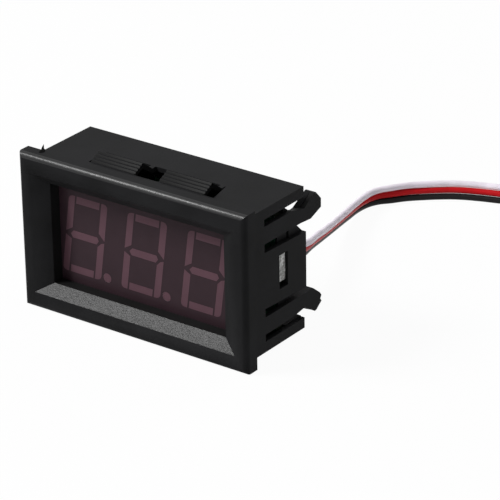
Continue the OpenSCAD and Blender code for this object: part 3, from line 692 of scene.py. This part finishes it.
def finish_form(name, form, *materials):
    """Turns a drawn form into a piece of the meter."""
    bmesh.ops.recalc_face_normals(form, faces=form.faces)
    mesh = bpy.data.meshes.new(name)
    form.to_mesh(mesh)
    form.free()
    for material in materials:
        mesh.materials.append(material)
    piece = link(bpy.data.objects.new(name, mesh))
    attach(piece, "meter")
    return piece


board = moulded("board", "circuit_board")
board.data.materials.append(
    tinted("solder_mask", mask_color, roughness=0.3, level=0.5, scale=90))
board.data.materials.append(textured_plastic(
    "laminate_edge_painted_shade", (0.008, 0.011, 0.007), (0.018, 0.022, 0.013), gloss=(0.6, 0.8),
    grain_size=0.3 * mm, grain_depth=0.03 * mm, level=0.05))
# The board's inner edges get a near-black laminate: painted shade, darker than the laminate's own
# pale colour.
board.data.materials.append(textured_plastic(
    "sheared_laminate", (0.2, 0.195, 0.18), (0.98, 0.98, 0.96), gloss=(0.7, 0.9),
    grain_size=0.3 * mm, grain_depth=0.08 * mm, level=0.2, cloud_size=0.45 * mm))
masked, painted_shade_edge, sheared = range(3)
# Faces toward front or back take the mask, the tab ends the pale laminate, and the other edges the
# painted shade.
for face in board.data.polygons:
    if abs(face.normal.y) >= 0.5:
        face.material_index = masked
    elif abs(face.center.x) > tab_end:
        face.material_index = sheared
    else:
        face.material_index = painted_shade_edge

first_pin_dot = (-8.4, 2.3)
cathode_bar = ((10.1, -5.4), (10.1, -2.6))

copper = bmesh.new()
for path in traces:
    for a, b in zip(path, path[1:]):
        add_bar(copper, a, b, trace_w, trace_t)
    for x, height in path[1:-1]:
        add_disc(copper, x, height, trace_w, trace_t)
for x, height in via_places:
    add_disc(copper, x, height, via_d, trace_t)
finish_form("board_traces", copper,
            tinted("mask_over_copper", mask_on_copper, roughness=0.28, level=0.5, scale=90))

pads = bmesh.new()
for x, height in pad_places:
    add_disc(pads, x, height, pin_pad_d, pad_t, pin_hole_d)
for x, height in lead_places:
    add_disc(pads, x, height, lead_pad_d, pad_t, pin_hole_d)
for x, height in via_places:
    add_disc(pads, x, height, via_pad_d, via_pad_t, via_hole_d)
finish_form("board_pads", pads, tin)

printing = bmesh.new()
for x, height, w, h in outlines:
    corners = [(x + i * w / 2, height + k * h / 2) for i, k in ((-1, -1), (1, -1), (1, 1), (-1, 1))]
    for a, b in zip(corners, corners[1:] + corners[:1]):
        add_bar(printing, a, b, outline_w, print_t)
add_disc(printing, *first_pin_dot, d=0.5, t=print_t)
add_bar(printing, *cathode_bar, width=0.3, t=print_t)
finish_form("board_printing", printing,
            tinted("printed_white", (0.72, 0.72, 0.68), roughness=0.6, level=0.3, scale=900))

joints = moulded("pin_joints", "pin_solder", smooth_angle=math.radians(60))
joints.data.materials.append(tinned("solder", (0.72, 0.72, 0.72), roughness=0.2))
lead_joints = moulded("lead_joints", "wire_solder", smooth_angle=math.radians(60))
lead_joints.data.materials.append(joints.data.materials[0])


# ---------------------------------------------------------------- parts on the board
# Chips moulded in black epoxy with tinned leads, a rectifier, film resistors and
# ceramic capacitors with tinned end caps, all soldered to the board's back.

epoxy_edge = 0.14 * mm
leg_edge = 0.03 * mm
mark_t = 0.004 * mm
epoxy = textured_plastic(
    "chip_epoxy", (0.014, 0.014, 0.015), (0.024, 0.024, 0.025), gloss=(0.5, 0.62),
    grain_size=0.12 * mm, grain_depth=0.008 * mm, level=0.3)
packages = {"controller": "controller", "regulator": "regulator", "rectifier": "diode"}
for name, cad_name in packages.items():
    body = moulded(name, f"{cad_name}_body", epoxy_edge)
    body.data.materials.append(epoxy)
for name, cad_name in packages.items():
    legs = moulded(f"{name}_legs", f"{cad_name}_leads", leg_edge)
    legs.data.materials.append(tin)

controller_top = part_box("controller_body")[1][1] - board_back
rectifier_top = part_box("diode_body")[1][1] - board_back
marks = bmesh.new()
add_disc(marks, -6.7, 1.1, d=0.8, t=controller_top + mark_t)
finish_form("first_pin_mark", marks,
            tinted("ejector_gloss", (0.03, 0.03, 0.032), roughness=0.25, level=0.4, scale=600))
band = bmesh.new()
add_bar(band, (9.05, -5.2), (9.05, -2.8), width=0.45, t=rectifier_top + mark_t)
finish_form("rectifier_band", band,
            tinted("band_grey", (0.5, 0.5, 0.48), roughness=0.6, level=0.3, scale=900))

cap_step = 0.03
chip_edge = 0.04 * mm


def add_chip(form, x, height, w, h, t, cap):
    """A chip part: its body between two end caps along its longer side."""
    long_x = w >= h
    half = max(w, h) / 2
    body = (-half + cap, half - cap, 0, cap_step)
    end_caps = ((-half, -half + cap, 1, 0), (half - cap, half, 1, 0))
    for low, high, index, shrink in (body, *end_caps):
        side = min(w, h) / 2 - shrink
        made = bmesh.ops.create_cube(form, size=1.0)["verts"]
        for vert in made:
            along = low + (vert.co.x + 0.5) * (high - low)
            sideways = 2 * side * vert.co.z
            out = (vert.co.y + 0.5) * (t - shrink) * mm
            place = (along, sideways) if long_x else (sideways, along)
            vert.co = on_back(x + place[0], height + place[1], out)
        for face in {face for vert in made for face in vert.link_faces}:
            face.material_index = index


def chip_parts(name, cad_name, places, w, h, t, cap, material):
    """All the chip parts of one kind, in place of their solids."""
    form = bmesh.new()
    for x, height in places:
        add_chip(form, x, height, w, h, t, cap)
    piece = finish_form(name, form, material, tin)
    rounding = piece.modifiers.new("edges", "BEVEL")
    rounding.width = chip_edge
    rounding.segments = 2
    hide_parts(cad_name)


ceramic = tinted("ceramic", (0.42, 0.3, 0.19), roughness=0.5, level=0.4, scale=700)
resistor_places = [(-10, 9), (-7, 9), (-4, 9), (-1, 9)]
resistor_places += [(-19.5, height) for height in (7, 3.5, -3.5, -7)]
chip_parts("film_resistors", "chip_resistors", resistor_places, w=1.6, h=0.85, t=0.45, cap=0.3,
           material=tinted("resistor_glaze", (0.02, 0.02, 0.022), roughness=0.25, level=0.5,
                           scale=700))
chip_parts("ceramic_capacitors", "chip_capacitors",
           [(11.5, 8.9), (14.5, 8.9), (-8.6, -4.3), (3.6, -4.3)],
           w=2.0, h=1.25, t=0.9, cap=0.4, material=ceramic)
chip_parts("storage_capacitors", "filter_capacitors", [(14.8, 3.4), (18.6, 3.4)],
           w=1.8, h=3.2, t=1.4, cap=0.5, material=ceramic)


# ---------------------------------------------------------------- calibration trimmer
# A square plastic base with three soldered legs and a plated metal rotor, riveted
# through it and turned with a small screwdriver.

trimmer_base = moulded("trimmer_body", "trimmer_base", edge=0.15 * mm)
trimmer_base.data.materials.append(textured_plastic(
    "trimmer_blue", (0.012, 0.07, 0.3), (0.016, 0.09, 0.36), gloss=(0.38, 0.48),
    grain_size=0.3 * mm, grain_depth=0.006 * mm, level=0.4))
trimmer_legs = moulded("trimmer_legs", "trimmer_leads", edge=0.04 * mm)
trimmer_legs.data.materials.append(tin)
rotor = moulded("trimmer_wiper", "trimmer_rotor", edge=0.04 * mm, body="trimmer")
rotor.data.materials.append(tinned("plated_brass", (0.8, 0.74, 0.6), roughness=0.22))


# ---------------------------------------------------------------- coil's tie
# A loop of black plastic strip that goes once round all the turns and holds the
# coiled end of the lead together.

tie = moulded("lead_tie", "wire_tie", edge=0.12 * mm)
tie.data.materials.append(textured_plastic(
    "tie_strip", (0.016, 0.016, 0.017), (0.024, 0.024, 0.025), gloss=(0.3, 0.45),
    grain_size=0.4 * mm, grain_depth=0.01 * mm, level=0.3))
